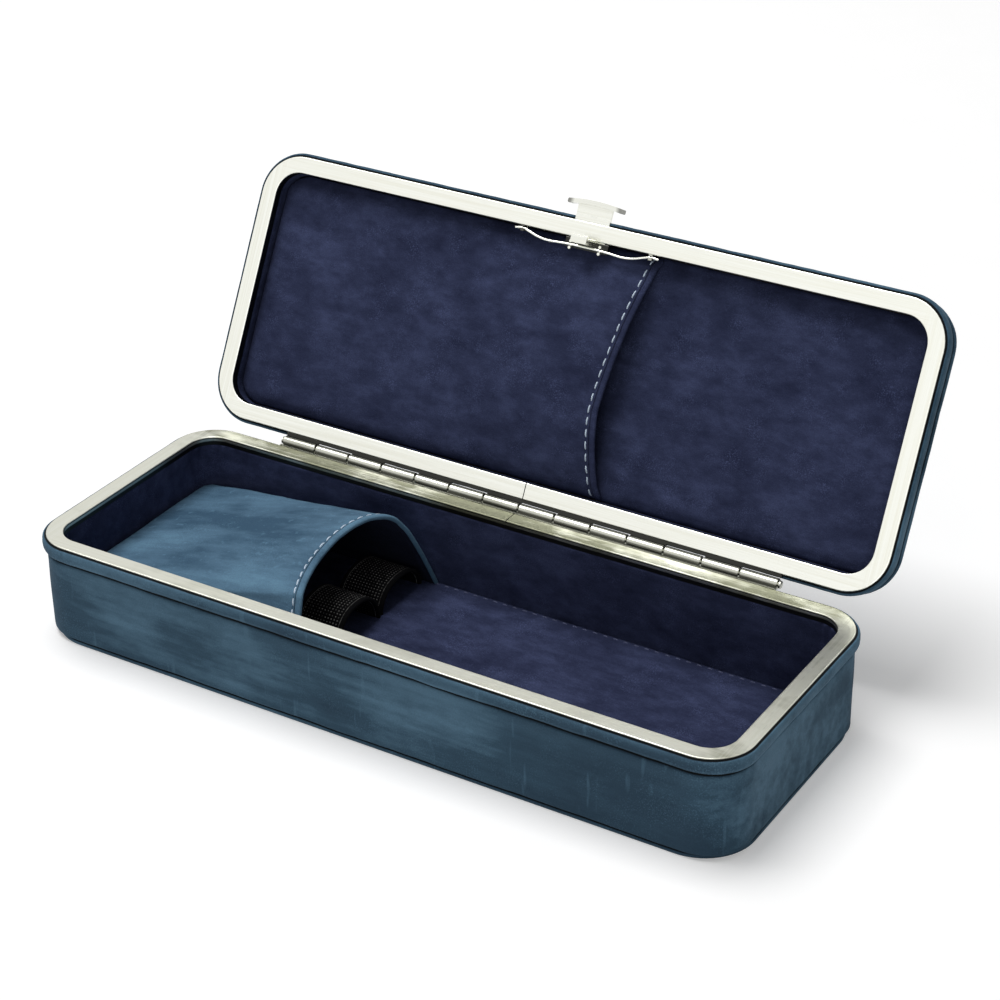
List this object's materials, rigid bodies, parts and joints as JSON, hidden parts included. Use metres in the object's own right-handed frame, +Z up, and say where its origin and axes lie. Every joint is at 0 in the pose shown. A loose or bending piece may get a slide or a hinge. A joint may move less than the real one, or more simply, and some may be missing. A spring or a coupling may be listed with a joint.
{
  "type": "hinged pen case",
  "caption": "Leather-covered hard case for pens, with a piano-hinged lid, metal rim frames, a sprung front catch, a pen flap, elastic loops and a lid pocket.",
  "frame": {"origin": "centre of the base's flat underside", "axes": "+X along the case's length, +Y towards the hinge and lid, +Z up"},
  "size_m": [0.202, 0.1202, 0.0998],
  "materials": {
    "leather_outside": "mottled blue nubuck",
    "leather_flap": "lighter blue nubuck",
    "suede_lining": "navy suede",
    "board": "stiff fibre board",
    "frame_metal": "brushed pale nickel",
    "catch_metal": "satin nickel",
    "spring_wire": "bright drawn wire",
    "elastic": "black woven elastic"
  },
  "bodies": {
    "base": {"bottom_panel": "leather_outside", "base_shell": "board", "base_side_leather": "leather_outside", "base_rim_band": "leather_outside", "base_frame": "frame_metal", "base_hinge_leaf": "frame_metal", "hinge_pin": "frame_metal", "base_wall_lining": "suede_lining", "floor_pad": "suede_lining", "pen_flap": "leather_flap", "pen_loop_front": "elastic", "pen_loop_middle": "elastic", "pen_loop_rear": "elastic"},
    "lid": {"lid_shell": "board", "lid_cover": "leather_outside", "lid_rim_band": "leather_outside", "lid_frame": "frame_metal", "lid_hinge_leaf": "frame_metal", "lid_wall_lining": "suede_lining", "lid_lining_panel": "suede_lining", "lid_pocket": "suede_lining", "latch_guide": "catch_metal", "spring_anchors": "catch_metal", "latch_spring": "spring_wire"},
    "latch": {"latch_plate": "catch_metal", "latch_thumb_bar": "catch_metal", "catch_hook": "catch_metal", "spring_lugs": "catch_metal"}
  },
  "joints": [
    {"name": "lid_hinge", "type": "hinge", "parent": "base", "child": "lid", "pos_m": [0, 0.039, 0.0283], "axis": [1, 0, 0], "range_deg": [0, 118]},
    {"name": "latch_slide", "type": "slide", "parent": "lid", "child": "latch", "axis": [0, -0.4695, -0.8829], "range_m": [0, 0.00245], "stiffness_N_per_m": 500, "springref_m": -0.001, "deforming": ["latch_spring"]}
  ]
}
